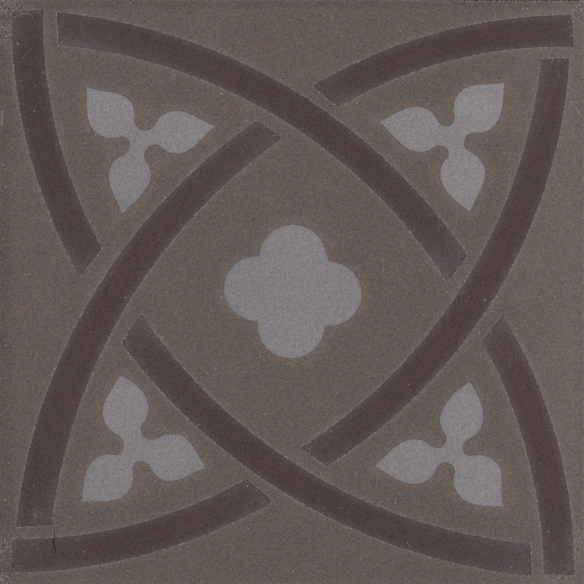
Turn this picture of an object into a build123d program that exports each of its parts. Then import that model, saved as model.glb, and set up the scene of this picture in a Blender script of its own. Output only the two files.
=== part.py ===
# Hydraulic cement tile, one pressed piece, lying on its back with the patterned face up.
# Millimetres. The origin is the middle of the back, +Z points out of the face.
# The colours are poured side by side and pressed flush, so each colour field is
# its own flat face of the one solid, with no step and no groove between fields.

from build123d import *
from build123d.topology import SkipClean

import os

# The slab
tile_side = 200.0  # the face, edge to edge
tile_thickness = 16.0
side_undercut = 0.4  # the back edge lies this far inside the face edge, for a tight joint
face_arris = 0.5  # worn edge round the face
back_arris = 1.2  # softer, crumbled edge round the back

# The interlaced straps, one circle round each corner of the tile
strap_width = 10.6
strap_border = 3.4  # bare ground between the tile's edge and a strap
strap_overhang = 1.9  # a circle's centre lies this far outside its corner, both ways
crossing_gap = 5.0  # bare ground beside a strap that passes over another

# The three-leaved sprig in each corner
sprig_inset = 46.0  # its heart, from the two tile edges of its corner
corner_leaf_length = 25.4  # heart to tip, towards the corner of the tile
side_leaf_length = 25.8  # heart to tip, the other two
side_leaf_swing = 123.0  # degrees from the corner leaf
leaf_width = 15.7
leaf_belly = 12.6  # heart to the widest place
leaf_tip_angle = 38.0  # degrees between a leaf's middle line and its edge at the tip
heart_radius = 3.9  # heart to the bottom of the hollow between two leaves

# The four-lobed flower in the middle
lobe_radius = 11.5
lobe_offset = 11.7  # tile centre to the middle of a lobe

# How deep the colours reach, which sets the depth of the field blocks below
colour_depth = 3.0

quarter_turns = (0, 90, 180, 270)
half_side = tile_side / 2
strap_radius = tile_side + strap_overhang - strap_border - strap_width / 2


def slab():
    """The plain pressed block, with undercut sides and both edges broken."""
    face_side = tile_side - 2 * face_arris
    back_side = tile_side - 2 * side_undercut
    levels = [
        Rectangle(back_side, back_side),
        Pos(0, 0, tile_thickness - face_arris) * Rectangle(tile_side, tile_side),
        Pos(0, 0, tile_thickness) * Rectangle(face_side, face_side),
    ]
    block = loft(levels, ruled=True)
    return chamfer(block.faces().sort_by(Axis.Z)[0].edges(), back_arris)


def ring(turn, width):
    """A whole strap circle of the given width. Turn 0 is the lower left corner's."""
    centre = Vector(1, 1).rotate(Axis.Z, turn) * -(half_side + strap_overhang)
    circle = Circle(strap_radius + width / 2) - Circle(strap_radius - width / 2)
    return Pos(centre.X, centre.Y) * circle


def corner_window(turn):
    """The quarter of the tile that holds a corner. Turn 0 is the lower left one."""
    middle = Vector(1, 1).rotate(Axis.Z, turn) * -(half_side / 2)
    return Pos(middle.X, middle.Y) * Rectangle(half_side, half_side)


def strap(turn):
    """One strap in its two stretches: it passes under the strap of the corner behind
    it, and under the opposite corner's strap where the two meet in that corner."""
    wide = strap_width + 2 * crossing_gap
    field = Rectangle(tile_side - 2 * strap_border, tile_side - 2 * strap_border)
    over_beside = ring(turn - 90, wide)
    over_in_corner = ring(turn + 180, wide) & corner_window(turn - 90)
    return (ring(turn, strap_width) & field) - over_beside - over_in_corner


def polar(distance, degrees):
    return Vector(distance, 0).rotate(Axis.Z, degrees)


def arc_about(centre, start, end):
    """The shorter arc round a centre between two points of its circle."""
    middle = ((start + end) / 2 - centre).normalized() * (start - centre).length
    return ThreePointArc(start, centre + middle, end)


def half_leaf(length, leaf_turn, hollow_turn, side):
    """One edge of a leaf: out of the hollow beside it, round the belly, to the tip."""
    belly_radius = leaf_width / 2
    belly = polar(leaf_belly, leaf_turn)
    # The hollow is a circle on the middle line between two leaves, touching both bellies
    along = belly.dot(polar(1, hollow_turn))
    reach = leaf_belly**2 - 2 * along * heart_radius + heart_radius**2 - belly_radius**2
    hollow_radius = reach / (2 * (belly_radius + along - heart_radius))
    hollow = polar(heart_radius + hollow_radius, hollow_turn)
    bottom = polar(heart_radius, hollow_turn)
    touch = belly + (hollow - belly).normalized() * belly_radius
    widest = belly + polar(belly_radius, leaf_turn + side * 90)
    edge_at_tip = polar(1, leaf_turn - side * leaf_tip_angle)
    return [
        arc_about(hollow, bottom, touch),
        arc_about(belly, touch, widest),
        Spline(widest, polar(length, leaf_turn), tangents=[polar(1, leaf_turn), edge_at_tip]),
    ]


def sprig(turn):
    """Three leaves round a heart, the first pointing at its corner of the tile."""
    corner = 225 + turn
    beside = side_leaf_swing / 2
    outline = []
    for side in (1, -1):
        side_leaf = corner + side * side_leaf_swing
        outline += half_leaf(corner_leaf_length, corner, corner + side * beside, side)
        outline += half_leaf(side_leaf_length, side_leaf, corner + side * beside, -side)
        outline += half_leaf(side_leaf_length, side_leaf, corner + 180, side)
    heart = polar((half_side - sprig_inset) * 2**0.5, corner)
    return Pos(heart.X, heart.Y) * make_face(outline)


def flower():
    """Four round lobes, one towards each side of the tile."""
    lobes = [Pos(*polar(lobe_offset, turn)) * Circle(lobe_radius) for turn in quarter_turns]
    return Rot(0, 0, 45) * Rectangle(lobe_offset, lobe_offset) + lobes


def colour_blocks():
    """Every colour field as a block that ends flush with the face."""
    fields = [flower()]
    for turn in quarter_turns:
        fields += [strap(turn), sprig(turn)]
    at_face = Pos(0, 0, tile_thickness - colour_depth)
    blocks = [at_face * extrude(field, colour_depth) for field in fields]
    return [solid for block in blocks for solid in block.solids()]


def cement_tile():
    """The slab with its face divided along the outlines of the colour fields."""
    plain = slab()
    blocks = colour_blocks()
    with SkipClean():
        return plain.fuse(*blocks)


tile = cement_tile()
os.makedirs("parts", exist_ok=True)
export_step(tile, "parts/cement_tile.step")

face_fields = [f for f in tile.faces() if abs(f.center().Z - tile_thickness) < 0.001]
print("strap circle radius", round(strap_radius, 2))
print("solids", len(tile.solids()), "volume cm3", round(tile.volume / 1000, 1))
print("fields on the face", len(face_fields))
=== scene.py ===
import math
import random

import bpy
import bmesh
import numpy as np
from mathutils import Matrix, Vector, geometry, kdtree, noise


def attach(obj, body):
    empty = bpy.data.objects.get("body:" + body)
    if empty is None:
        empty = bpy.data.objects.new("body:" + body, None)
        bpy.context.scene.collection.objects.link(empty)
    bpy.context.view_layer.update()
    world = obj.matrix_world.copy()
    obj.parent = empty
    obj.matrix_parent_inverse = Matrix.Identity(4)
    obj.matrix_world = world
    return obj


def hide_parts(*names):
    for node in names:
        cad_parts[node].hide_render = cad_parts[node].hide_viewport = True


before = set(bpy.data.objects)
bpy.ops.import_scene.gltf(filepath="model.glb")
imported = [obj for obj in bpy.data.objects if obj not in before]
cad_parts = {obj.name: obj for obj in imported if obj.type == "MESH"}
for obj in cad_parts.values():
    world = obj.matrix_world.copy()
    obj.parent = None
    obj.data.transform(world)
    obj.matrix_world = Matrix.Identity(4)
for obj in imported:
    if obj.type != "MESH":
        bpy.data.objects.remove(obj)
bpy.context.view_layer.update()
mm = 0.001
print("frame loaded, nodes:", len(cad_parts))

# the pressed block, mm
tileBlock = {
    "side": 200.0,
    "thickness": 16.0,
    "fit": 0.998,  # the pattern's sizes are taken over a frame a little inside the edges
}
fieldNames = ("ground", "strap", "pale", "mortar", "crack", "lime")  # in the order of the material slots


def feed(socket, value):
    if isinstance(value, Value):
        socket.id_data.links.new(value.socket, socket)
    elif value is not None:
        socket.default_value = value


def newNode(tree, kind, inputs=None, **settings):  # gives the node's outputs by name
    node = tree.nodes.new(kind)
    for name, setting in settings.items():
        setattr(node, name, setting)
    for key, value in (inputs or {}).items():
        feed(node.inputs[key], value)
    return {socket.name: Value(socket) for socket in node.outputs if socket.enabled}


class Value:  # a node's output to reckon with, every step adds a node to the same tree
    def __init__(self, socket):
        self.socket = socket

    def through(self, kind, inputs, **settings):
        return newNode(self.socket.id_data, kind, inputs, **settings)

    def do(self, operation, other=None):
        return self.through("ShaderNodeMath", {0: self, 1: other}, operation=operation)["Value"]

    def __add__(self, other):
        return self.do("ADD", other)

    def __sub__(self, other):
        return self.do("SUBTRACT", other)

    def __rsub__(self, other):
        return self.through("ShaderNodeMath", {0: other, 1: self}, operation="SUBTRACT")["Value"]

    def __mul__(self, other):
        return self.do("MULTIPLY", other)

    def __truediv__(self, other):
        return self.do("DIVIDE", other)

    def __pow__(self, other):
        return self.do("POWER", other)

    def __gt__(self, other):
        return self.do("GREATER_THAN", other)

    def __lt__(self, other):
        return self.do("LESS_THAN", other)

    def __abs__(self):
        return self.do("ABSOLUTE")

    def axes(self):
        return self.through("ShaderNodeSeparateXYZ", {0: self})

    def channels(self):
        return self.through("ShaderNodeSeparateColor", {0: self})

    def joined(self, y):
        return self.through("ShaderNodeCombineXYZ", {"X": self, "Y": y})["Vector"]

    def noise(self, scale, detail):
        return self.through("ShaderNodeTexNoise", {"Vector": self, "Scale": scale, "Detail": detail})["Fac"]

    def cells(self, scale):
        return self.through("ShaderNodeTexVoronoi", {"Vector": self, "Scale": scale})

    def attribute(self, name):
        return self.through("ShaderNodeAttribute", {}, attribute_name=name)["Fac"]

    def ramp(self, low, high, toLow=0.0, toHigh=1.0, kind="LINEAR"):
        span = {"Value": self, "From Min": low, "From Max": high, "To Min": toLow, "To Max": toHigh}
        return self.through("ShaderNodeMapRange", span, interpolation_type=kind)["Result"]

    def fade(self, fall, kind="LINEAR"):  # fall is from mm, to mm and the values there
        return self.ramp(fall[0] * mm, fall[1] * mm, *fall[2:], kind=kind)

    def swing(self, amount):  # 0..1 noise to a change either way
        return (self - 0.5) * (2 * amount)

    def between(self, a, b):  # two colours mixed by this share, sockets 6 and 7 take colours
        return self.through("ShaderNodeMix", {0: self, 6: a, 7: b}, data_type="RGBA")["Result"]

    def lit(self, colour):  # a colour made this many times as light
        return self.through("ShaderNodeVectorMath", {0: colour, "Scale": self}, operation="SCALE")["Vector"]

    def tinted(self, tint):
        return self.through("ShaderNodeVectorMath", {0: self, 1: tint}, operation="MULTIPLY")["Vector"]

    def distance(self, spot):
        return self.through("ShaderNodeVectorMath", {0: self, 1: spot}, operation="DISTANCE")["Value"]


# geometry trees: named inputs, then every tree ends the same way
def newTree(name, floats, whole):
    tree = bpy.data.node_groups.new(name, "GeometryNodeTree")
    sockets = [("Geometry", "Geometry")]
    sockets += [(label, "Float") for label in floats] + [(label, "Int") for label in whole]
    for label, kind in sockets + [("Cement", "Material")]:
        tree.interface.new_socket(label, in_out="INPUT", socket_type="NodeSocket" + kind)
    tree.interface.new_socket("Geometry", in_out="OUTPUT", socket_type="NodeSocketGeometry")
    return tree, newNode(tree, "NodeGroupInput")


def closeTree(tree, shape, given):
    real = shape.through("GeometryNodeRealizeInstances", {0: shape})["Geometry"]
    cement = {"Geometry": real, "Material": given["Cement"]}
    newNode(tree, "NodeGroupOutput", {0: newNode(tree, "GeometryNodeSetMaterial", cement)["Geometry"]})
    return tree


def grown(tree, values):  # runs a tree once and gives its flat points and edges, mm
    holder = bpy.data.objects.new("holder", bpy.data.meshes.new("holder"))
    bpy.context.scene.collection.objects.link(holder)
    modifier = holder.modifiers.new("grow", "NODES")
    modifier.node_group = tree
    for item in tree.interface.items_tree:
        if item.item_type == "SOCKET" and item.in_out == "INPUT" and item.name in values:
            modifier[item.identifier] = values[item.name]
    ready = holder.evaluated_get(bpy.context.evaluated_depsgraph_get())
    mesh = bpy.data.meshes.new_from_object(ready)
    points = [(v.co.x, v.co.y) for v in mesh.vertices]
    edges = [tuple(e.vertices) for e in mesh.edges]
    bpy.data.objects.remove(holder)
    bpy.data.meshes.remove(mesh)
    return points, edges


# the straps: four circles round the tile's corners, eight stretches between the crossings
strapCircle = {
    "width": 10.6,
    "border": 3.4,
    "overhang": 1.9,  # the circle's centre lies outside the corner
    "firstCorner": 225,  # degrees, from the tile's middle to the lower left corner
    "columns": 150,
    "rows": 9,
    "wobble": 0.10,  # uneven edge where the colours were poured
    "wobbleGrain": (0.55, 3.0),  # scale and detail
    "wobbleGain": 4.0,  # brings the noise's swing up to the wobble
    "wobbleApart": 7.0,  # the two edges wobble on their own
    "drift": 300.0,  # and so does every stretch
    "wobblePower": 6.0,  # the rows inside stay still
    "roundFall": 2.5,  # a rounded corner pulls the rows back this many radii from the end
}

# turn 0 is the lower left corner's circle, span in degrees round it
# outer and inner are the two edges off the circle at the start, middle and end, mm
# cut is the slant of the two ends, round their corners
# bloom is the grey haze at the ends: strength, reach in mm, lean to the outer (+) or inner side
# tone is the lightness of the whole stretch
strapStretches = {
    "topLong": {
        "turn": 0, "span": (83.55, 34.72), "outer": (5.6, 6.05, 5.1), "inner": (-5.45, -4.5, -5.75),
        "cut": (0.18, 0.34), "round": (0.6, 0.8),
        "bloom": ((0.53, 27, -0.9), (0.58, 20, -0.15)), "tone": 0.975},
    "rightShort": {
        "turn": 0, "span": (27.7, 1.47), "outer": (4.65, 6.1, 5.35), "inner": (-5.85, -4.9, -5.0),
        "cut": (0.45, -0.04), "round": (0.4, 0.3),
        "bloom": ((0.58, 6, 0.5), (0.52, 8, 0.1)), "tone": 1.03},
    "leftLong": {
        "turn": 90, "span": (83.48, 34.79), "outer": (4.4, 4.5, 3.8), "inner": (-7.65, -7.15, -6.25),
        "cut": (0.17, 0.34), "round": (0.4, 0.4),
        "bloom": ((0.54, 14, 0.1), (0.5, 21, 0.15)), "tone": 1.01},
    "topShort": {
        "turn": 90, "span": (28.2, 1.73), "outer": (3.7, 4.4, 3.7), "inner": (-6.95, -5.85, -7.35),
        "cut": (0.41, 0.04), "round": (0.9, 0.3),
        "bloom": ((0.68, 8, 0.15), (0.32, 8, 0.0)), "tone": 0.965},
    "bottomLong": {
        "turn": 180, "span": (84.1, 36.05), "outer": (6.95, 6.85, 6.6), "inner": (-4.0, -3.45, -4.75),
        "cut": (0.12, 0.37), "round": (0.3, 0.4),
        "bloom": ((0.82, 26, -0.35), (0.74, 15, -0.45)), "tone": 0.98},
    "leftShort": {
        "turn": 180, "span": (28.26, 1.66), "outer": (6.4, 6.1, 4.9), "inner": (-4.95, -4.75, -6.1),
        "cut": (0.45, 0.06), "round": (0.4, 0.8),
        "bloom": ((0.35, 9, 0.6), (0.56, 9, 0.7)), "tone": 0.975},
    "rightLong": {
        "turn": 270, "span": (83.46, 34.57), "outer": (5.0, 6.95, 4.35), "inner": (-4.6, -4.3, -5.85),
        "cut": (0.15, 0.39), "round": (0.5, 0.7),
        "bloom": ((0.43, 26, -1.0), (0.4, 12, -0.05)), "tone": 0.99},
    "bottomShort": {
        "turn": 270, "span": (28.16, 1.77), "outer": (4.95, 5.4, 4.85), "inner": (-6.15, -5.5, -6.6),
        "cut": (0.41, -0.09), "round": (0.6, 0.5),
        "bloom": ((0.66, 11, 0.35), (0.74, 11, 0.15)), "tone": 1.01},
}
edgeEnds = (" From", " Middle", " To")
cutEnds = (" From", " To")
stripParts = {"outer": edgeEnds, "inner": edgeEnds, "cut": cutEnds, "round": cutEnds}


def strapTree():
    floats = ["Centre X", "Centre Y", "Radius", "From", "To", "Wobble", "Drift"]
    floats += [part.capitalize() + end for part, ends in stripParts.items() for end in ends]
    tree, given = newTree("strapStretch", floats, ("Columns", "Rows"))
    counts = {"Vertices X": given["Columns"], "Vertices Y": given["Rows"], "Size X": 2.0, "Size Y": 2.0}
    grid = newNode(tree, "GeometryNodeMeshGrid", counts)
    flat = newNode(tree, "GeometryNodeInputPosition")["Position"].axes()

    def packed(value):  # -1..1 to -0.5..0.5, closer rows at both ends
        return value * (2.0 - abs(value)) * 0.5

    along = packed(flat["X"]) + 0.5
    across = packed(flat["Y"])
    back = 1.0 - along

    def bowed(name):  # smooth through the start, middle and end values
        first = given[name + " From"] * (back * (back - along))
        half = given[name + " Middle"] * (along * back * 4.0)
        last = given[name + " To"] * (along * (along - back))
        return first + half + last

    inner = bowed("Inner")
    width = bowed("Outer") - inner
    length = (given["From"] - given["To"]) * given["Radius"]
    spot = (along * length + given["Drift"]).joined(flat["Y"] * strapCircle["wobbleApart"])
    ripple = spot.noise(*strapCircle["wobbleGrain"])
    shake = (ripple - 0.5) * strapCircle["wobbleGain"] * given["Wobble"]
    atEdge = abs(flat["Y"]) ** strapCircle["wobblePower"]
    reach = given["Radius"] + (inner + width * (across + 0.5) + shake * atEdge)
    edge = (0.5 - abs(across)) * width

    def nipped(radius, share):  # how far a rounded corner pulls the end back, mm
        deep = (radius - edge).do("MAXIMUM", 0.0)
        pull = radius - (radius * radius - deep * deep).do("SQRT")
        far = share * length / (radius * strapCircle["roundFall"])
        fall = (1.0 - far).do("MAXIMUM", 0.0)
        return pull * (fall * fall)

    run = along + (nipped(given["Round From"], along) - nipped(given["Round To"], back)) / length
    cut = given["Cut From"] + (given["Cut To"] - given["Cut From"]) * along
    slant = across * width * cut / given["Radius"]
    angle = given["From"] + (given["To"] - given["From"]) * run + slant
    x = given["Centre X"] + reach * angle.do("COSINE")
    y = given["Centre Y"] + reach * angle.do("SINE")
    strip = {"Geometry": grid["Mesh"], "Position": x.joined(y)}
    return closeTree(tree, newNode(tree, "GeometryNodeSetPosition", strip)["Geometry"], given)


def strapStrips(cement):  # every stretch as (points, edges, outline, its two ends, circle)
    tree = strapTree()
    side = tileBlock["side"]
    fit = tileBlock["fit"]
    reach = (side / 2 + strapCircle["overhang"]) * math.sqrt(2)
    columns = strapCircle["columns"]
    rows = strapCircle["rows"]
    around = [c * rows for c in range(columns)]  # the grid counts its rows first
    around += [(columns - 1) * rows + r for r in range(1, rows)]
    around += [c * rows + rows - 1 for c in range(columns - 2, -1, -1)]
    around += list(range(rows - 2, 0, -1))
    strips = []
    for number, stretch in enumerate(strapStretches.values()):
        toCorner = math.radians(stretch["turn"] + strapCircle["firstCorner"])
        values = {
            "Centre X": reach * math.cos(toCorner),
            "Centre Y": reach * math.sin(toCorner),
            "Radius": side + strapCircle["overhang"] - strapCircle["border"] - strapCircle["width"] / 2,
            "Wobble": strapCircle["wobble"],
            "Drift": strapCircle["drift"] * number,
            "Columns": columns,
            "Rows": rows,
            "Cement": cement,
        }
        for label, amount in zip(("From", "To"), stretch["span"]):
            values[label] = math.radians(stretch["turn"] + amount)
        for part, ends in stripParts.items():
            for label, amount in zip(ends, stretch[part]):
                values[part.capitalize() + label] = amount
        points, edges = grown(tree, values)
        points = [(x * fit, y * fit) for x, y in points]
        circle = (values["Centre X"], values["Centre Y"], values["Radius"])
        strips.append((points, edges, [points[i] for i in around], (points[:rows], points[-rows:]), circle))
    bpy.data.node_groups.remove(tree)
    return strips


# the four sprigs: heart from the tile's middle, then each leaf with its right and left half
# belly is heart to the widest place, half the half width there, tip the edge's angle at the tip
# hollows lie after each leaf: heart to the bottom of the hollow, and its direction
sprigs = {
    "topLeft": {"heart": (-52.3, 52.2), "leaves": (
        {"turn": 135, "length": 25.5, "belly": (12.2, 13.1), "half": (7.0, 8.7), "tip": (19, 41),
         "hollow": (3.4, 195), "tone": 1.03},
        {"turn": 257, "length": 26.0, "belly": (12.7, 12.3), "half": (7.5, 6.7), "tip": (33, 31),
         "hollow": (3.9, 315), "tone": 0.965},
        {"turn": 370, "length": 26.5, "belly": (13.0, 12.6), "half": (7.0, 7.6), "tip": (26, 28),
         "hollow": (3.3, 434), "tone": 1.045})},
    "topRight": {"heart": (55.1, 53.4), "leaves": (
        {"turn": 46.2, "length": 25.4, "belly": (12.3, 12.8), "half": (7.7, 8.6), "tip": (37, 30),
         "hollow": (3.7, 109), "tone": 1.08},
        {"turn": 169, "length": 25.6, "belly": (12.5, 11.5), "half": (7.6, 7.6), "tip": (37, 28),
         "hollow": (4.5, 236), "tone": 1.025},
        {"turn": 283, "length": 26.6, "belly": (13.3, 13.3), "half": (7.3, 8.0), "tip": (41, 30),
         "hollow": (4.1, 342), "tone": 1.05})},
    "bottomLeft": {"heart": (-53.8, -53.9), "leaves": (
        {"turn": 225, "length": 25.7, "belly": (12.8, 13.0), "half": (7.3, 8.6), "tip": (38, 34),
         "hollow": (4.3, 284), "tone": 0.98},
        {"turn": 345.3, "length": 25.2, "belly": (12.7, 13.1), "half": (7.6, 8.6), "tip": (28, 39),
         "hollow": (5.2, 413), "tone": 0.995},
        {"turn": 460.8, "length": 25.7, "belly": (14.3, 13.0), "half": (7.3, 8.6), "tip": (56, 44),
         "hollow": (3.8, 531), "tone": 1.035})},
    "bottomRight": {"heart": (54.8, -55.4), "leaves": (
        {"turn": 314.3, "length": 25.2, "belly": (12.6, 12.8), "half": (8.2, 8.7), "tip": (44, 25),
         "hollow": (3.9, 378), "tone": 1.05},
        {"turn": 436, "length": 25.3, "belly": (12.5, 11.7), "half": (7.5, 6.9), "tip": (48, 46),
         "hollow": (4.0, 493), "tone": 1.035},
        {"turn": 549.4, "length": 26.6, "belly": (12.9, 13.2), "half": (7.1, 8.2), "tip": (36, 38),
         "hollow": (3.3, 610), "tone": 1.0})},
}
leafSteps = {"arc": 12, "tip": 18}


def polar(distance, degrees):
    a = math.radians(degrees)
    return Vector((distance * math.cos(a), distance * math.sin(a)))


def arcPoints(centre, start, end, steps):  # the shorter way round, without the end point
    radius = (start - centre).length
    first = math.atan2(start.y - centre.y, start.x - centre.x)
    last = math.atan2(end.y - centre.y, end.x - centre.x)
    sweep = (last - first + math.pi) % (2 * math.pi) - math.pi
    turns = [first + sweep * i / steps for i in range(steps)]
    return [centre + Vector((radius * math.cos(t), radius * math.sin(t))) for t in turns]


def leafEdge(leaf, hollow, side):  # out of the hollow, round the belly, to the tip
    pick = 0 if side < 0 else 1
    turn = leaf["turn"]
    hub, hollowTurn = hollow
    belly = polar(leaf["belly"][pick], turn)
    radius = leaf["half"][pick]
    along = belly.dot(polar(1, hollowTurn))
    reach = belly.length_squared - 2 * along * hub + hub * hub - radius * radius
    hollowRadius = reach / (2 * (radius + along - hub))  # so that the hollow touches the belly
    nook = polar(hub + hollowRadius, hollowTurn)
    touch = belly + (nook - belly).normalized() * radius
    widest = belly + polar(radius, turn + side * 90)
    tip = polar(leaf["length"], turn)
    pull = (tip - widest).length / 3
    handle = tip - polar(pull, turn - side * leaf["tip"][pick])
    points = arcPoints(nook, polar(hub, hollowTurn), touch, leafSteps["arc"])
    points += arcPoints(belly, touch, widest, leafSteps["arc"])
    points += geometry.interpolate_bezier(widest, widest + polar(pull, turn), handle, tip, leafSteps["tip"])
    return points


def sprigOutline(sprig):
    leaves = sprig["leaves"]
    points = []
    for i, leaf in enumerate(leaves):
        hub, turn = leaves[i - 1]["hollow"]
        before = (hub, turn - 360) if i == 0 else (hub, turn)
        points += leafEdge(leaf, before, -1)[:-1]
        points += leafEdge(leaf, leaf["hollow"], 1)[:0:-1]
    heart = Vector(sprig["heart"])
    return roughened([heart + p for p in points])


# the flower in the middle: four round lobes that run into one another
flower = {
    "middle": (0.1, 0.1),
    "lobeSteps": 22,  # from a hollow to the top of a lobe
    "nookSteps": 6,
    "leastRun": 0.5,  # a shorter straight run into a hollow is left out
    "lobes": (  # filled is how far the hollow after a lobe is filled up
        {"turn": -3.5, "offset": 12.9, "radius": 10.8, "filled": 1.1, "tone": 0.98},
        {"turn": 89, "offset": 11.5, "radius": 11.4, "filled": 0.0, "tone": 1.015},
        {"turn": 175, "offset": 12.4, "radius": 11.0, "filled": 0.4, "tone": 0.94},
        {"turn": 268, "offset": 11.4, "radius": 11.4, "filled": 0.5, "tone": 1.01},
    ),
}


def lobeNook(a, b):  # outer crossing of two neighbouring lobes, filled up a little
    first = polar(a["offset"], a["turn"])
    run = polar(b["offset"], b["turn"]) - first
    along = (run.length_squared + a["radius"] ** 2 - b["radius"] ** 2) / (2 * run.length)
    out = math.sqrt(a["radius"] ** 2 - along * along)
    run.normalize()
    crossing = first + run * along + Vector((run.y, -run.x)) * out
    return crossing + crossing.normalized() * a["filled"]


def tangentSpot(centre, radius, nook, side):  # where a straight run from the nook touches the lobe
    away = nook - centre
    swing = side * math.acos(min(radius / away.length, 1.0))
    return centre + polar(radius, math.degrees(math.atan2(away.y, away.x) + swing))


def straightRun(start, end):
    if (end - start).length <= flower["leastRun"]:
        return []
    return [start.lerp(end, k / flower["nookSteps"]) for k in range(flower["nookSteps"])]


def flowerOutline():
    lobes = flower["lobes"]
    points = []
    for i, lobe in enumerate(lobes):
        centre = polar(lobe["offset"], lobe["turn"])
        top = polar(lobe["offset"] + lobe["radius"], lobe["turn"])
        before = lobeNook(lobes[i - 1], lobe)
        after = lobeNook(lobe, lobes[(i + 1) % len(lobes)])
        start = tangentSpot(centre, lobe["radius"], before, 1)
        end = tangentSpot(centre, lobe["radius"], after, -1)
        points += straightRun(before, start)
        points += arcPoints(centre, start, top, flower["lobeSteps"])
        points += arcPoints(centre, top, end, flower["lobeSteps"])
        points += straightRun(end, after)
    middle = Vector(flower["middle"])
    return roughened([middle + p for p in points])


def toneSpots():  # middle and tone of every leaf and lobe, field by field
    fields = []
    for sprig in sprigs.values():
        heart = Vector(sprig["heart"])
        leaves = sprig["leaves"]
        fields.append([(heart + polar(leaf["belly"][0], leaf["turn"]), leaf["tone"]) for leaf in leaves])
    middle = Vector(flower["middle"])
    lobes = flower["lobes"]
    fields.append([(middle + polar(lobe["offset"], lobe["turn"]), lobe["tone"]) for lobe in lobes])
    return fields


pouredEdge = {"loose": 0.09, "scale": 0.8, "layer": 2.0, "apart": 40}


def roughened(points):  # poured edges are never quite clean
    apart = Vector((pouredEdge["apart"], 0, 0))
    moved = []
    for p in points:
        spot = Vector((p.x * pouredEdge["scale"], p.y * pouredEdge["scale"], pouredEdge["layer"]))
        shake = Vector((noise.noise(spot), noise.noise(spot + apart)))
        moved.append(tuple((p + pouredEdge["loose"] * shake) * tileBlock["fit"]))
    return moved


# hairline crack across the lower left gap
crack = {
    "path": ((-81.1, -81.6), (-81.1, -83.2), (-81.5, -84.8), (-81.6, -85.7), (-81.0, -87.4), (-81.0, -89.3)),
    "width": 0.36,
    "depth": 0.4,
    "steps": 4,  # between two points of the path
    "taper": 0.6,
    "ends": (0.04, 0.96),  # it never closes to nothing
}


def crackOutline():
    path = [Vector(p) for p in crack["path"]]
    steps = crack["steps"]
    fine = []
    for a, b in zip(path, path[1:]):
        fine += [a.lerp(b, i / steps) for i in range(steps)]
    fine.append(path[-1])
    last = len(fine) - 1
    least, most = crack["ends"]
    left, right = [], []
    for i, p in enumerate(fine):
        share = min(max(i / last, least), most)
        wide = crack["width"] / 2 * math.sin(math.pi * share) ** crack["taper"]
        run = (fine[min(i + 1, last)] - fine[max(i - 1, 0)]).normalized()
        left.append(tuple(p + Vector((-run.y, run.x)) * wide))
        right.append(tuple(p - Vector((-run.y, run.x)) * wide))
    return left + right[::-1], [tuple(p) for p in fine]


# small pits and pale grains of lime in the face, most of them near the corners
scatter = {
    "pits": {"Seed": 5, "Density": 0.0012, "Corner Density": 0.08, "Corner Reach": 6.0,
             "Least": 0.14, "Most": 0.32},
    "flecks": {"Seed": 23, "Density": 0.0018, "Corner Density": 0.12, "Corner Reach": 6.5,
               "Least": 0.10, "Most": 0.26},
    # larger flecks by the left edge
    "dots": ((-98.6, 43.5), (-97.9, 36.0), (-97.9, -18.2), (-98.1, -71.2), (-93.7, 84.9)),
    "dotRadius": 0.3,
    "sides": 7,
    "bend": 0.5,  # share of its radius that a corner moves in or out
    "bendScale": 3,
    "pitDepth": 0.22,
    "margin": 1.0,  # nothing closer to the tile's edge
    "cells": 60,
    "edgeShare": 0.45,  # how fast the corner's crowd thins out along an edge
    "fullTurn": 6.28,
}


def scatterTree():
    floats = ("Side", "Density", "Corner Density", "Corner Reach", "Least", "Most")
    tree, given = newTree("faceScatter", floats, ("Sides", "Seed"))
    grid = newNode(tree, "GeometryNodeMeshGrid", {
        "Vertices X": scatter["cells"], "Vertices Y": scatter["cells"],
        "Size X": given["Side"], "Size Y": given["Side"]})
    flat = newNode(tree, "GeometryNodeInputPosition")["Position"].axes()
    half = given["Side"] * 0.5
    x = half - abs(flat["X"])
    y = half - abs(flat["Y"])
    near = x.do("MINIMUM", y) + x.do("MAXIMUM", y) * scatter["edgeShare"]
    fall = (near / given["Corner Reach"] * -1.0).do("EXPONENT")
    density = given["Density"] + given["Corner Density"] * (fall * fall)
    points = newNode(tree, "GeometryNodeDistributePointsOnFaces", {
        "Mesh": grid["Mesh"], "Density": density, "Seed": given["Seed"]})
    circle = {"Vertices": given["Sides"], "Radius": 1.0}
    # sockets by number: a draw has others of the same name
    sizes = {2: given["Least"], 3: given["Most"], 8: given["Seed"]}
    turns = {0: (0, 0, 0), 1: (0, 0, scatter["fullTurn"]), 8: given["Seed"]}
    placed = newNode(tree, "GeometryNodeInstanceOnPoints", {
        "Points": points["Points"],
        "Instance": newNode(tree, "GeometryNodeMeshCircle", circle, fill_type="NGON")["Mesh"],
        "Rotation": newNode(tree, "FunctionNodeRandomValue", turns, data_type="FLOAT_VECTOR")["Value"],
        "Scale": newNode(tree, "FunctionNodeRandomValue", sizes, data_type="FLOAT")["Value"]})
    return closeTree(tree, placed["Instances"], given)


def scatterLoops(tree, kind, cement):  # small irregular rings, mm
    sides = scatter["sides"]
    scale = scatter["bendScale"]
    values = dict(scatter[kind], Sides=sides, Cement=cement)
    values["Side"] = tileBlock["side"] - 2 * scatter["margin"]
    points, edges = grown(tree, values)
    rings = [[Vector(p) for p in points[i:i + sides]] for i in range(0, len(points), sides)]
    if kind == "flecks":
        for dot in scatter["dots"]:
            rings.append([Vector(dot) + polar(scatter["dotRadius"], 360 / sides * k) for k in range(sides)])
    loops = []
    for ring in rings:
        middle = sum(ring, Vector((0, 0))) / sides
        bends = [scatter["bend"] * noise.noise(Vector((p.x * scale, p.y * scale, 1))) for p in ring]
        loops.append([tuple(middle + (p - middle) * (1 + bend)) for p, bend in zip(ring, bends)])
    return loops


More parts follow.
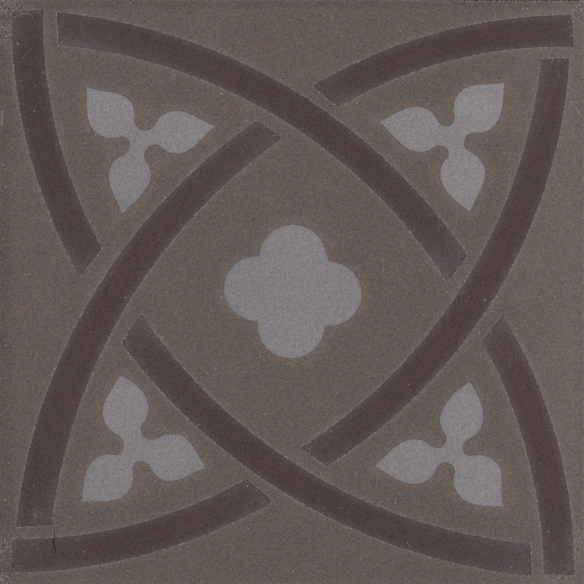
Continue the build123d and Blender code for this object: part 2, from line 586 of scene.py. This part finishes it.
# flat geometry tools, mm
flatTools = {
    "sharpest": 0.5,  # keeps a mitre from shooting out
    "sample": 0.15,
    "snap": 1e-4,
}


def shifted(outline, distance):  # the outline moved outwards, corners mitred
    points = [Vector(p) for p in outline]
    area = sum(a.x * b.y - b.x * a.y for a, b in zip(points, points[1:] + points[:1]))
    turn = 1 if area > 0 else -1
    moved = []
    for i, p in enumerate(points):
        before = (p - points[i - 1]).normalized()
        after = (points[(i + 1) % len(points)] - p).normalized()
        a = Vector((before.y, -before.x)) * turn
        b = Vector((after.y, -after.x)) * turn
        mid = (a + b).normalized()
        moved.append(tuple(p + mid * distance / max(mid.dot(a), flatTools["sharpest"])))
    return moved


def insideOf(points, outline):  # even-odd test for many points at once
    ring = np.array(outline)
    hit = np.zeros(len(points), bool)
    low, high = ring.min(axis=0), ring.max(axis=0)
    near = np.nonzero(np.all((points >= low) & (points <= high), axis=1))[0]
    x, y = points[near, 0], points[near, 1]
    odd = np.zeros(len(near), bool)
    for (ax, ay), (bx, by) in zip(ring, np.roll(ring, -1, axis=0)):
        if ay != by:
            odd ^= ((ay > y) != (by > y)) & (x < (bx - ax) * (y - ay) / (by - ay) + ax)
    hit[near] = odd
    return hit


def distanceTo(points, lines, closed=True):  # from every point to the nearest line
    samples = []
    for line in lines:
        ends = line[1:] + line[:1] if closed else line[1:]
        for (ax, ay), (bx, by) in zip(line, ends):
            count = max(1, int(math.dist((ax, ay), (bx, by)) / flatTools["sample"]))
            shares = [i / count for i in range(count)]
            samples += [(ax + (bx - ax) * t, ay + (by - ay) * t, 0) for t in shares]
        samples.append((line[-1][0], line[-1][1], 0))
    tree = kdtree.KDTree(len(samples))
    for i, p in enumerate(samples):
        tree.insert(p, i)
    tree.balance()
    return np.array([tree.find((x, y, 0))[2] for x, y in points])


def triangulated(points, edges):
    corners = [Vector(p) for p in points]
    flat, _, faces, *_ = geometry.delaunay_2d_cdt(corners, edges, [], 0, flatTools["snap"])
    spots = np.array([(p.x, p.y) for p in flat])
    triangles = np.array([f[:3] for f in faces])
    return spots, triangles, spots[triangles].mean(axis=1)


def evenGrid(step, first, last):
    count = int((last - first) / step) + 1
    return [(first + i * step, first + j * step) for i in range(count) for j in range(count)]


# worn edge round the face, and the chips in it, mm
faceEdge = {
    "arris": 0.10,  # least width
    "jag": {"amount": 0.08, "scale": 0.55, "row": 3.7},
    "wave": {"amount": 0.08, "scale": 0.09, "row": 9.1},
    "cornerWear": 0.35,  # the face's corners are rubbed this much more
    "cornerReach": 1.3,
    "cornerJag": (0.8, 0.4),  # steady share and the jag's share
    "steps": 220,  # along each side
    "chips": 34,
    "chipReach": (0.4, 1.8),  # half length of a chip along the edge
    "chipDepth": (0.08, 0.4),
    "chipRag": (0.75, 0.5, 0.8),  # steady share, ragged share and scale
    "atCorners": 3,  # every third chip sits near a corner
    "cornerSpread": 0.05,  # share of a side
    "slope": 0.9,  # depth of the worn edge for its width
    "deepLoss": 0.9,  # a deeper chip reaches down the side as well
    "deepShare": 0.35,
    "seed": 11,
}


def edgeLoss():  # how much is rubbed or broken off at every step round the face
    steps = faceEdge["steps"]
    stepLength = tileBlock["side"] / steps
    dice = random.Random(faceEdge["seed"])
    total = 4 * steps

    def ripple(i, kind):
        return noise.noise(Vector((i * stepLength * kind["scale"], kind["row"], 0)))

    loss = [0.0] * total
    for i in range(total):
        toCorner = min(i % steps, steps - i % steps) * stepLength
        jag = ripple(i, faceEdge["jag"])
        wave = ripple(i, faceEdge["wave"])
        loss[i] = faceEdge["arris"] + faceEdge["jag"]["amount"] * abs(jag)
        loss[i] += faceEdge["wave"]["amount"] * max(wave, 0)
        steady, ragged = faceEdge["cornerJag"]
        rubbed = math.exp(-((toCorner / faceEdge["cornerReach"]) ** 2)) * (steady + ragged * jag)
        loss[i] += faceEdge["cornerWear"] * rubbed
    steady, ragged, scale = faceEdge["chipRag"]
    for c in range(faceEdge["chips"]):
        spot = dice.uniform(0, total)
        if c % faceEdge["atCorners"] == 0:
            spot = (round(spot / steps) * steps + dice.gauss(0, steps * faceEdge["cornerSpread"])) % total
        reach = dice.uniform(*faceEdge["chipReach"]) / stepLength
        depth = dice.uniform(*faceEdge["chipDepth"])
        for i in range(int(spot - reach), int(spot + reach) + 2):
            t = (i - spot) / reach
            if abs(t) < 1:
                rag = steady + ragged * abs(noise.noise(Vector((i * scale, c, 0))))
                loss[i % total] += depth * (1 - t * t) * rag
    return loss


# bare sides and back, mm
blockSides = {
    "undercut": 0.4,  # the back edge lies this far inside the face edge
    "heights": (13.4, 11.5, 9.0, 6.5, 4.0),  # mesh rows down the sides
    "rough": 0.20,
    "roughScale": 0.45,
    "backArris": 1.2,
    "crumble": (0.7, 1.1, 0.3),  # steady share, ragged share and scale of the back edge
    "backRough": 0.22,
    "backScale": 0.16,
    "backLayer": 5.0,
    "backWave": (1.0, 2.0, 3),  # fall, step and number of octaves
    "backStep": 3.0,
    "backJitter": 0.8,
    "backMargin": 1.5,  # steps from the edge to the first grid point
    "seed": 12,
    "backRim": 0.5,  # flat next to the back edge
}


def squareLoop():
    half = tileBlock["side"] / 2
    steps = faceEdge["steps"]
    corners = [(-half, -half), (half, -half), (half, half), (-half, half)]
    loop = []
    for k, (ax, ay) in enumerate(corners):
        bx, by = corners[(k + 1) % 4]
        loop += [(ax + (bx - ax) * i / steps, ay + (by - ay) * i / steps) for i in range(steps)]
    return loop


def drawnIn(loop, inset):
    half = tileBlock["side"] / 2
    return [(x * (1 - d / half), y * (1 - d / half)) for (x, y), d in zip(loop, inset)]


def blockLevels():  # loops from the face down to the back, as (x, y, z)
    loss = edgeLoss()
    loop = squareLoop()
    top = tileBlock["thickness"]
    undercut = blockSides["undercut"]
    arris = blockSides["backArris"]

    def grit(p, z, scale):
        return abs(noise.noise(Vector((p[0] * scale, p[1] * scale, z * scale))))

    levels = [[(x, y, top) for x, y in drawnIn(loop, loss)]]
    deep = [faceEdge["deepShare"] * max(d - faceEdge["deepLoss"], 0) for d in loss]
    levels.append([(x, y, top - faceEdge["slope"] * d) for (x, y), d in zip(drawnIn(loop, deep), loss)])
    for z in blockSides["heights"] + (arris,):
        lean = undercut * (1 - z / top)
        inset = [lean + blockSides["rough"] * grit(p, z, blockSides["roughScale"]) for p in loop]
        levels.append([(x, y, z) for x, y in drawnIn(loop, inset)])
    steady, ragged, scale = blockSides["crumble"]
    inset = [undercut + arris * (steady + ragged * grit(p, 0, scale)) for p in loop]
    levels.append([(x, y, 0.0) for x, y in drawnIn(loop, inset)])
    return levels


def backSheet(loop):  # the bare pressed back, flat with shallow hollows
    step = blockSides["backStep"]
    jitter = blockSides["backJitter"]
    scale = blockSides["backScale"]
    reach = tileBlock["side"] / 2 - blockSides["backMargin"] * step
    dice = random.Random(blockSides["seed"])
    inner = []
    for x, y in evenGrid(step, -reach, reach):
        inner.append((x + dice.uniform(-jitter, jitter), y + dice.uniform(-jitter, jitter)))
    edges = [(i, (i + 1) % len(loop)) for i in range(len(loop))]
    spots, triangles, middles = triangulated(loop + inner, edges)
    rim = distanceTo(spots, [loop])
    lift = []
    for (x, y), edge in zip(spots, rim):
        wave = noise.fractal(Vector((x * scale, y * scale, blockSides["backLayer"])), *blockSides["backWave"])
        lift.append(blockSides["backRough"] * max(wave, 0) * (edge > blockSides["backRim"]))
    return spots, triangles[insideOf(middles, loop)], lift


# how the face is divided, mm
faceMesh = {
    "gridStep": 6.0,
    "seamRows": (0.5, 1.5),  # mesh rows beside every seam
    "seamClear": 3.6,  # no grid point closer to a seam
    "onEdge": 0.05,  # a field's own points reach this far over its outline
    "toneSpread": 120,  # mm2, how far the tone of one leaf runs into the next
    "hazeMiddle": (0.75, 0.7),  # the haze is weaker in the middle of a strap
    "touch": 1e-3,
    "away": 20.0,  # seam distance on the sides and back
    "merge": 0.002,
}


class Drawing:  # all lines on the face, ready to be divided into triangles
    def __init__(self):
        self.points, self.edges = [], []

    def add(self, line, closed=True):
        count = len(line) if closed else len(line) - 1
        self.addGrid(line, [(i, (i + 1) % len(line)) for i in range(count)])

    def addGrid(self, points, edges):
        first = len(self.points)
        self.points.extend(points)
        self.edges.extend((first + a, first + b) for a, b in edges)


def tileMesh(cements):
    drawing = Drawing()
    strips = strapStrips(cements["strap"])
    for points, edges, *_ in strips:
        drawing.addGrid(points, edges)
    strapOutlines = [strip[2] for strip in strips]
    print("strap stretches:", len(strips))
    paleOutlines = [sprigOutline(s) for s in sprigs.values()] + [flowerOutline()]
    for outline in paleOutlines:
        drawing.add(outline)
        drawing.add(shifted(outline, -faceMesh["seamRows"][0]))
    seams = strapOutlines + paleOutlines
    for outline in seams:
        for row in faceMesh["seamRows"]:
            drawing.add(shifted(outline, row))
    print("pale fields:", len(paleOutlines))
    tree = scatterTree()
    pits = scatterLoops(tree, "pits", cements["ground"])
    flecks = scatterLoops(tree, "flecks", cements["lime"])
    bpy.data.node_groups.remove(tree)
    pitMiddles = [tuple(np.mean(loop, axis=0)) for loop in pits]
    for loop in pits + flecks:
        drawing.add(loop)
    drawing.points.extend(pitMiddles)
    print("pits and flecks:", len(pits), len(flecks))
    crackLoop, crackMiddle = crackOutline()
    drawing.add(crackLoop)
    drawing.add(crackMiddle, closed=False)
    levels = blockLevels()
    faceLoop = [(x, y) for x, y, z in levels[0]]
    drawing.add(faceLoop)
    reach = tileBlock["side"] / 2 - faceMesh["gridStep"]
    loose = np.array(evenGrid(faceMesh["gridStep"], -reach, reach))
    clear = distanceTo(loose, seams) > faceMesh["seamClear"]
    drawing.points.extend(tuple(p) for p in loose[clear])
    spots, triangles, middles = triangulated(drawing.points, drawing.edges)
    keep = insideOf(middles, faceLoop)
    field = np.zeros(len(triangles), int)
    outlines = {"strap": strapOutlines, "pale": paleOutlines, "lime": flecks, "crack": [crackLoop]}
    for name, loops in outlines.items():
        for loop in loops:
            field[insideOf(middles, loop)] = fieldNames.index(name)
    print("face divided:", int(keep.sum()), "triangles")
    depth = np.zeros(len(spots))
    depth[distanceTo(spots, [crackMiddle], closed=False) < faceMesh["touch"]] = crack["depth"]
    atPits = distanceTo(spots, [[p] for p in pitMiddles], closed=False) < faceMesh["touch"]
    depth[atPits] = scatter["pitDepth"]
    face = {"spots": spots, "triangles": triangles[keep], "field": field[keep], "depth": depth}
    return joinedBody(cements, levels, face, marksAt(spots, strips, strapOutlines, paleOutlines))


def marksAt(spots, strips, strapOutlines, paleOutlines):  # what the cements read at every point
    ends = [end for strip in strips for end in strip[3]]
    tone = np.ones(len(spots))
    bloom = np.zeros(len(spots))
    for outline, leaves in zip(paleOutlines, toneSpots()):
        own = np.nonzero(insideOf(spots, shifted(outline, faceMesh["onEdge"])))[0]
        near = []
        for middle, _ in leaves:
            away = ((spots[own] - np.array(middle)) ** 2).sum(axis=1)
            near.append(np.exp(-away / faceMesh["toneSpread"]))
        tone[own] = sum(n * leafTone for n, (_, leafTone) in zip(near, leaves)) / sum(near)
    steady, outward = faceMesh["hazeMiddle"]
    for (_, _, outline, stripEnds, circle), stretch in zip(strips, strapStretches.values()):
        own = np.nonzero(insideOf(spots, shifted(outline, faceMesh["onEdge"])))[0]
        side = np.hypot(spots[own, 0] - circle[0], spots[own, 1] - circle[1]) - circle[2]
        side *= 2 / strapCircle["width"]
        tone[own] = stretch["tone"]
        for end, (amount, reach, lean) in zip(stripEnds, stretch["bloom"]):
            haze = amount * np.exp(-distanceTo(spots[own], [end], closed=False) / reach)
            haze *= np.maximum(1 + lean * side, 0) * (steady + outward * side ** 2)
            bloom[own] = np.maximum(bloom[own], haze)
    return {
        "strapSeam": distanceTo(spots, strapOutlines) * mm,
        "paleSeam": distanceTo(spots, paleOutlines) * mm,
        "gap": distanceTo(spots, ends, closed=False) * mm,
        "bloom": bloom,
        "tone": tone,
    }


def joinedBody(cements, levels, face, marks):  # face, sides and back as one closed mesh
    body = bmesh.new()
    layers = {name: body.verts.layers.float.new(name) for name in marks}
    away = faceMesh["away"] * mm
    plain = {"strapSeam": away, "paleSeam": away, "gap": away, "bloom": 0.0, "tone": 1.0}
    mortar = fieldNames.index("mortar")

    def newVert(x, y, z, values):
        vert = body.verts.new((x * mm, y * mm, z * mm))
        for name, layer in layers.items():
            vert[layer] = values[name]
        return vert

    used = {}
    for triangle, number in zip(face["triangles"], face["field"]):
        for i in triangle:
            if i not in used:
                height = tileBlock["thickness"] - face["depth"][i]
                used[i] = newVert(*face["spots"][i], height, {name: marks[name][i] for name in marks})
        body.faces.new([used[i] for i in triangle]).material_index = int(number)
    rings = [[newVert(*p, plain) for p in loop] for loop in levels]
    for level, (upper, lower) in enumerate(zip(rings, rings[1:])):
        for i in range(len(upper)):
            j = (i + 1) % len(upper)
            side = body.faces.new((upper[i], lower[i], lower[j], upper[j]))
            side.material_index = 0 if level == 0 else mortar  # the worn edge is still ground
    backSpots, backTriangles, lift = backSheet([(x, y) for x, y, z in levels[-1]])
    backVerts = [newVert(x, y, z, plain) for (x, y), z in zip(backSpots, lift)]
    for triangle in backTriangles:
        body.faces.new([backVerts[i] for i in triangle[::-1]]).material_index = mortar
    bmesh.ops.remove_doubles(body, verts=body.verts, dist=faceMesh["merge"] * mm)
    bmesh.ops.recalc_face_normals(body, faces=body.faces)
    result = bpy.data.meshes.new("cementTile")
    body.to_mesh(result)
    body.free()
    for name in fieldNames:
        result.materials.append(cements[name])
    return result


# cement colours as they are seen, 0 to 255, reaches in mm
cementLook = {
    "ground": {"core": (100.2, 88.6, 84.8), "rim": (105.6, 94.8, 91.4), "rimReach": 2.3,
               "grain": 0.38, "cloud": 0.085, "specks": 1.0, "wear": 1.0},
    "strap": {"core": (75.6, 61.8, 62.2), "rim": (83.6, 71.6, 73), "rimReach": 2.5,
              "grain": 0.39, "cloud": 0.06, "specks": 1.0, "wear": 0.35},
    "pale": {"core": (130, 125.3, 127.2), "rim": (126.6, 121.7, 123.5), "rimReach": 1.3,
             "grain": 0.30, "cloud": 0.03, "specks": 0.4, "wear": 0.0},
}
noiseBand = (0.3, 0.7)  # where most of a noise lies
fullScale = 255
dryShine = 0.08

# textures that the coloured cements share: scale per metre, and detail of the noises
faceGrain = {
    "patch": (34, 3),
    "cloud": (62, 4),
    "fine": (2100, 1),
    "fineShare": 0.33,  # of the grain's swing
    "hue": (420, 2),
    "warm": (1.03, 1.0, 0.965, 1.0),  # faint shift of hue from spot to spot
    "cool": (0.97, 1.0, 1.035, 1.0),
    "cells": 4600,
    "cellHeight": 0.4,
    "grains": 3000,
    "lightSpecks": {"scale": 650, "least": 0.82, "radius": 0.24, "change": 1.5},
    "darkSpecks": {"scale": 560, "least": 0.84, "radius": 0.25, "change": -0.7},
    "finish": {"rough": (0.9, 0.76), "bump": 0.2, "bumpDepth": 0.06},
}

# marks on the face, 0 to 255 colours; a fall is from mm, to mm and the values there
faceMarks = {
    "rimStart": 0.2,
    "rimPatch": (0.6, 1.3),
    "bloom": (92, 81, 83),  # grey haze at the strap ends
    "bloomPatch": (0.7, 1.25),
    "paleHalo": (106.8, 95.8, 92.2),  # ground beside the pale fields
    "haloFall": (0.3, 4.0, 0.9, 0.0),
    "greyDust": (140, 136, 131),  # thin film towards the right edge
    "greyFall": (70, 98, 0.0, 0.065),
    "gapFall": (0.6, 4.5, -0.09, 0.0),  # ground between a strap's end and the next strap
    "paleLine": (0.2, 0.5, 0.90, 1.0),  # thin dark lines round the pale fields
    "strapLine": (0.1, 0.5, 0.97, 1.0),  # and inside the straps
    "seamGrain": (148, 140, 135),  # light grains strung along the straps
    "strungFall": (0.1, 0.6, 0.85, 0.0),
    "strungAbove": 0.84,
    "brokenFall": (0.1, 1.5, 0.7, 0.0),  # broken grains along the strap ends
    "brokenLight": 0.95,
    "brokenDark": 0.36,
    "pit": (46, 40, 38),
    # slow changes of tone over the face
    "fades": (("X", -100, -75, -0.07, 0.0), ("X", 20, 98, 0.0, 0.06), ("Y", -95, -45, -0.04, 0.0)),
    "groundFades": (
        ("X", -98.8, -93.2, -0.16, 0.0), ("X", 56, 98, 0.0, 0.09), ("X", 96, 97.4, 0.0, -0.05),
        ("Y", -95, -45, -0.04, 0.0), ("Y", -99.4, -96.5, 0.06, 0.0), ("Y", 96.2, 97.6, 0.0, -0.11)),
}


def seen(colour):  # 0-255 screen colour to linear
    steps = [c / fullScale for c in colour]
    return tuple(c / 12.92 if c <= 0.04045 else ((c + 0.055) / 1.055) ** 2.4 for c in steps) + (1.0,)


def newCement(name):
    material = bpy.data.materials.new(name + "Cement")
    material.use_nodes = True
    return material, newNode(material.node_tree, "ShaderNodeTexCoord")["Object"]


def finished(material, colour, rough, height, finish):
    shader = material.node_tree.nodes["Principled BSDF"].inputs
    bump = {"Strength": finish["bump"], "Distance": finish["bumpDepth"] * mm, "Height": height}
    feed(shader["Base Color"], colour)
    feed(shader["Roughness"], rough.ramp(*noiseBand, *finish["rough"]))
    feed(shader["Normal"], height.through("ShaderNodeBump", bump)["Normal"])
    feed(shader["Specular IOR Level"], dryShine)
    return material


def specks(coords, kind, share):  # round specks in some of the cells, as a change of tone
    cell = coords.cells(kind["scale"])
    wide = kind["radius"] * kind["scale"] * mm
    size = cell["Color"].channels()["Green"].ramp(kind["least"], 1.0, 0.0, wide)
    return (cell["Distance"] < size) * (kind["change"] * share)


def fieldColour(name, coords, seam, patch):  # colour of the field before its grain
    look = cementLook[name]
    rim = seam.fade((faceMarks["rimStart"], look["rimReach"], 1.0, 0.0))
    rim = rim * patch.ramp(*noiseBand, *faceMarks["rimPatch"])
    colour = rim.between(seen(look["core"]), seen(look["rim"]))
    if name == "ground":
        halo = coords.attribute("paleSeam").fade(faceMarks["haloFall"])
        colour = halo.between(colour, seen(faceMarks["paleHalo"]))
        film = coords.axes()["X"].fade(faceMarks["greyFall"])
        colour = film.between(colour, seen(faceMarks["greyDust"]))
    if name == "strap":
        haze = coords.attribute("bloom") * patch.ramp(*noiseBand, *faceMarks["bloomPatch"])
        colour = haze.between(colour, seen(faceMarks["bloom"]))
    return colour


def fieldTone(name, coords, seam, grain, fine, cloud):  # lightness from spot to spot
    look = cementLook[name]
    place = coords.axes()
    tone = grain.swing(look["grain"]) + 1.0 + fine.swing(look["grain"] * faceGrain["fineShare"])
    tone = tone + cloud.swing(look["cloud"])
    for axis, *fall in faceMarks["groundFades" if name == "ground" else "fades"]:
        tone = tone + place[axis].fade(fall, "SMOOTHSTEP")
    light = specks(coords, faceGrain["lightSpecks"], look["specks"])
    tone = tone + (light + specks(coords, faceGrain["darkSpecks"], look["specks"]))
    if name == "ground":
        tone = tone + coords.attribute("gap").fade(faceMarks["gapFall"])
        return tone * coords.attribute("paleSeam").fade(faceMarks["paleLine"])
    if name == "strap":
        tone = tone * seam.fade(faceMarks["strapLine"])
    return tone * coords.attribute("tone")


def seamGrains(name, coords, seam, grains, colour):  # loose grains where the colours meet
    light = seen(faceMarks["seamGrain"])
    if name == "ground":
        strung = seam.fade(faceMarks["strungFall"]) * (grains["Green"] > faceMarks["strungAbove"])
        return strung.between(colour, light)
    if name == "strap":
        broken = coords.attribute("gap").fade(faceMarks["brokenFall"])
        bright = broken * (grains["Blue"] > faceMarks["brokenLight"])
        dull = broken * (grains["Blue"] < faceMarks["brokenDark"])
        return dull.between(bright.between(colour, light), seen(faceMarks["pit"]))
    return colour


def faceCement(name):
    material, coords = newCement(name)
    kinds = ("patch", "cloud", "fine", "hue")
    patch, cloud, fine, hue = [coords.noise(*faceGrain[kind]) for kind in kinds]
    cell = coords.cells(faceGrain["cells"])
    grains = coords.cells(faceGrain["grains"])["Color"].channels()
    seam = coords.attribute("paleSeam" if name == "pale" else "strapSeam")
    tone = fieldTone(name, coords, seam, cell["Color"].channels()["Red"], fine, cloud)
    tint = hue.ramp(*noiseBand).between(faceGrain["warm"], faceGrain["cool"])
    colour = tone.lit(fieldColour(name, coords, seam, patch)).tinted(tint)
    colour = seamGrains(name, coords, seam, grains, colour)
    if cementLook[name]["wear"]:
        # dust, specks and scuffs, and a painted highlight on the top and right arris
        colour = scuffedAndHighlighted(coords, grains, patch, colour, cementLook[name]["wear"])
    colour = scratched(coords, grains, colour, name)
    grit = fine + cell["Distance"] * faceGrain["cellHeight"]
    return finished(material, colour, cloud, grit, faceGrain["finish"])


# dusty, speckled corners and edges, and a painted highlight on the top and right arris, 0 to 255 colours, mm
faceWearAndHighlight = {
    "dust": (128, 121, 117),
    "dustGrain": (0.2, 1.0, 0.1, 0.7),
    "speck": (164, 158, 151),
    "speckAbove": 0.83,
    "pit": (46, 40, 38),
    "pitBelow": 0.2,
    "edgeFall": (0.0, 1.2, 1.0, 0.0),
    "edgePatch": (0.5, 0.68, 0.0, 0.3),
    # speckled patches: x, y, reach, strength
    "scuffs": (
        (-98.5, 98.8, 6.5, 0.8), (-99.3, 91.0, 4.0, 0.45), (99.6, 96.0, 9.0, 0.42), (-99.6, -86.6, 4.2, 1.0),
        (-99.0, -98.0, 4.5, 0.55), (92.0, -97.5, 8.5, 0.32), (-92.5, 96.5, 3.5, 0.55),
        (-87.3, -76.5, 3.4, 0.85), (-98.5, -88.0, 12.0, 0.32), (-96.3, 88.0, 8.0, 0.38),
        (97.2, -86.0, 8.0, 0.36)),
    # dark line over a light one on the upper right edge
    "lineFall": (45, 60, 0.0, 1.0),
    "chalkFall": (99.05, 99.15, 0.0, 0.4),
    "chalkAbove": 0.5,
    "darkLineFall": (99.32, 99.42, 0.0, 1.0),
    "darkLineGrain": (0.25, 0.6, 0.2, 0.95),
    "arrisHighlightFall": (99.3, 99.6, 1.0, 1.12),  # painted highlight on the arris at top and right
}


def scuffedAndHighlighted(coords, grains, patch, colour, share):
    place = coords.axes()
    half = tileBlock["side"] / 2 * mm
    near = (half - abs(place["X"])).do("MINIMUM", half - abs(place["Y"]))
    amount = near.fade(faceWearAndHighlight["edgeFall"], "SMOOTHSTEP") * patch.ramp(*faceWearAndHighlight["edgePatch"])
    for sx, sy, reach, strength in faceWearAndHighlight["scuffs"]:
        away = coords.distance((sx * mm, sy * mm, tileBlock["thickness"] * mm))
        amount = amount.do("MAXIMUM", away.fade((0.0, reach, share * strength, 0.0), "SMOOTHSTEP"))
    along = place["X"].fade(faceWearAndHighlight["lineFall"])
    chalk = along * place["Y"].fade(faceWearAndHighlight["chalkFall"]) * (grains["Green"] > faceWearAndHighlight["chalkAbove"])
    # a darker line along the right part of the top edge
    darkLine = along * place["Y"].fade(faceWearAndHighlight["darkLineFall"]) * grains["Red"].ramp(*faceWearAndHighlight["darkLineGrain"])
    layers = (
        ("dust", amount * grains["Green"].ramp(*faceWearAndHighlight["dustGrain"])),
        ("speck", amount * (grains["Blue"] > faceWearAndHighlight["speckAbove"])),
        ("pit", amount * (grains["Blue"] < faceWearAndHighlight["pitBelow"])),
        ("speck", chalk),
        ("pit", darkLine),
    )
    for kind, cover in layers:
        colour = cover.between(colour, seen(faceWearAndHighlight[kind]))
    # the top and right arris made lighter: a painted highlight
    return place["X"].do("MAXIMUM", place["Y"]).fade(faceWearAndHighlight["arrisHighlightFall"]).lit(colour)


# thin light scratches, and the ragged arc at the upper end of the left short strap
scratches = {
    "colour": (150, 142, 137),
    "grain": (0.1, 0.8, 0.1),  # grains from here to there, and how much shows on the dullest
    "ground": (
        {"from": (-42.7, -58.6), "to": (-42.9, -63.2), "width": 0.22, "strength": 0.5},
        {"from": (-44.2, -65.0), "to": (-45.8, -70.6), "width": 0.22, "strength": 0.5},
        {"from": (95.2, 65.4), "to": (99.3, 59.6), "width": 0.28, "strength": 0.9},
        {"from": (-99.1, 62.2), "to": (-99.2, 56.6), "width": 0.8, "strength": 0.4},
    ),
    "strap": (
        {"from": (-95.6, 93.8), "to": (-91.9, 95.0), "width": 0.34, "strength": 0.4},
        {"from": (-91.9, 95.0), "to": (-90.2, 95.3), "width": 0.34, "strength": 0.55},
        {"from": (-90.2, 95.3), "to": (-88.6, 94.0), "width": 0.34, "strength": 0.35},
    ),
    "pale": (),
}


def scratched(coords, grains, colour, name):
    for scratch in scratches[name]:
        start = Vector(scratch["from"]) * mm
        run = Vector(scratch["to"]) * mm - start
        half = run.length / 2
        turn = (0, 0, math.atan2(run.y, run.x))
        laid = {"Vector": coords, "Location": (start.x, start.y, 0), "Rotation": turn}
        flat = coords.through("ShaderNodeMapping", laid, vector_type="TEXTURE")["Vector"].axes()
        inside = (abs(flat["Y"]) < scratch["width"] / 2 * mm) * (abs(flat["X"] - half) < half)
        mark = inside * grains["Green"].ramp(*scratches["grain"], scratch["strength"])
        colour = mark.between(colour, seen(scratches["colour"]))
    return colour


# bare sand and cement below the coloured layer, 0 to 255 colours, scales per metre
mortarLook = {
    "core": (132, 127, 120),
    "sand": (150, 143, 132),
    "sandGrain": (0.55, 1.0),
    "dark": (98, 94, 90),
    "darkGrain": (0.82, 1.0, 0.0, 0.8),
    "grains": 1300,
    "grainHeight": 0.6,
    "cloud": (45, 5),
    "cloudSwing": 0.22,
    "fine": (520, 3),
    "fineSwing": 0.12,
    "layer": 3.4,  # depth of the coloured layer, mm
    "layerSwing": 2.2,
    "layerBlur": 0.4,
    "layerTone": (1.04, 0.16),
    "finish": {"rough": (0.97, 0.88), "bump": 0.55, "bumpDepth": 0.3},
}


def mortarCement():
    material, coords = newCement("mortar")
    cell = coords.cells(mortarLook["grains"])
    grains = cell["Color"].channels()
    cloud = coords.noise(*mortarLook["cloud"])
    fine = coords.noise(*mortarLook["fine"])
    sand = grains["Red"].ramp(*mortarLook["sandGrain"])
    colour = sand.between(seen(mortarLook["core"]), seen(mortarLook["sand"]))
    colour = grains["Green"].ramp(*mortarLook["darkGrain"]).between(colour, seen(mortarLook["dark"]))
    tone = cloud.swing(mortarLook["cloudSwing"]) + 1.0 + fine.swing(mortarLook["fineSwing"])
    line = tileBlock["thickness"] - mortarLook["layer"]
    blur = mortarLook["layerBlur"]
    height = coords.axes()["Z"] + cloud.swing(mortarLook["layerSwing"] * mm)
    upper = height.fade((line - blur, line + blur, 0.0, 1.0), "SMOOTHSTEP")
    middle, swing = mortarLook["layerTone"]
    layer = (grains["Blue"].swing(swing) + middle).lit(seen(cementLook["ground"]["core"])[:3])
    grit = fine + cell["Distance"] * mortarLook["grainHeight"]
    return finished(material, upper.between(tone.lit(colour), layer), cloud, grit, mortarLook["finish"])


# painted shade in the crack, and pale lime grains: darkest and lightest colour
smallLook = {
    "crack": ((16, 13, 13), (44, 38, 36)),
    "lime": ((124, 117, 112), (158, 151, 145)),
}
smallGrain = {"fine": (900, 2), "finish": {"rough": (0.95, 0.85), "bump": 0.2, "bumpDepth": 0.08}}


def smallCement(name):
    material, coords = newCement(name)
    fine = coords.noise(*smallGrain["fine"])
    low, high = smallLook[name]
    return finished(material, fine.between(seen(low), seen(high)), fine, fine, smallGrain["finish"])


cements = {name: faceCement(name) for name in cementLook}
cements["mortar"] = mortarCement()
for small in smallLook:
    cements[small] = smallCement(small)
print("cements mixed:", len(cements))

tile = bpy.data.objects.new("cementTile", tileMesh(cements))
bpy.context.scene.collection.objects.link(tile)
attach(tile, "root")
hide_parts("cement_tile")
print("tile built:", len(tile.data.polygons), "faces")

# floor, light and camera
studio = {
    "floorSize": 9.0,
    "floorColour": (232, 231, 228),
    "floorRough": 0.9,
    "floorDrop": 0.2,  # mm below the tile's back
    "sky": 0.52,
    "lamps": (
        {"name": "keyLamp", "at": (-0.9, 1.0, 1.6), "size": 1.3, "power": 17.8},
        {"name": "fillLamp", "at": (1.2, -0.7, 1.5), "size": 1.3, "power": 11.4},
    ),
    "framed": 199.6,  # mm of the face that the picture shows
    "lens": 135.0,
    "sensor": 36.0,
}


def added(name, data):
    thing = bpy.data.objects.new(name, data)
    bpy.context.scene.collection.objects.link(thing)
    return thing


def buildFloor():
    size = studio["floorSize"] / 2
    drop = -studio["floorDrop"] * mm
    corners = [(-size, -size, drop), (size, -size, drop), (size, size, drop), (-size, size, drop)]
    plane = bpy.data.meshes.new("floor")
    plane.from_pydata(corners, [], [(0, 1, 2, 3)])
    pale = bpy.data.materials.new("paleFloor")
    pale.use_nodes = True
    shader = pale.node_tree.nodes["Principled BSDF"].inputs
    feed(shader["Base Color"], seen(studio["floorColour"]))
    feed(shader["Roughness"], studio["floorRough"])
    plane.materials.append(pale)
    floor = added("floor", plane)


def buildLight():
    world = bpy.data.worlds.new("softSky")
    world.use_nodes = True
    sky = world.node_tree.nodes["Background"].inputs
    feed(sky["Color"], (1, 1, 1, 1))
    feed(sky["Strength"], studio["sky"])
    bpy.context.scene.world = world
    for lamp in studio["lamps"]:
        data = bpy.data.lights.new(lamp["name"], "AREA")
        data.shape = "DISK"
        data.size = lamp["size"]
        data.energy = lamp["power"]
        holder = added(lamp["name"], data)
        holder.location = lamp["at"]
        holder.rotation_euler = (-Vector(lamp["at"])).to_track_quat("-Z", "Y").to_euler()


def buildCamera():
    lens = bpy.data.cameras.new("overhead")
    lens.lens = studio["lens"]
    lens.sensor_width = studio["sensor"]
    camera = added("overhead", lens)
    height = studio["framed"] * mm * studio["lens"] / studio["sensor"]
    camera.location = (0, 0, tileBlock["thickness"] * mm + height)
    bpy.context.scene.camera = camera
    bpy.context.scene.view_settings.view_transform = "Standard"


buildFloor()
buildLight()
buildCamera()
print("studio set")

bpy.context.view_layer.update()
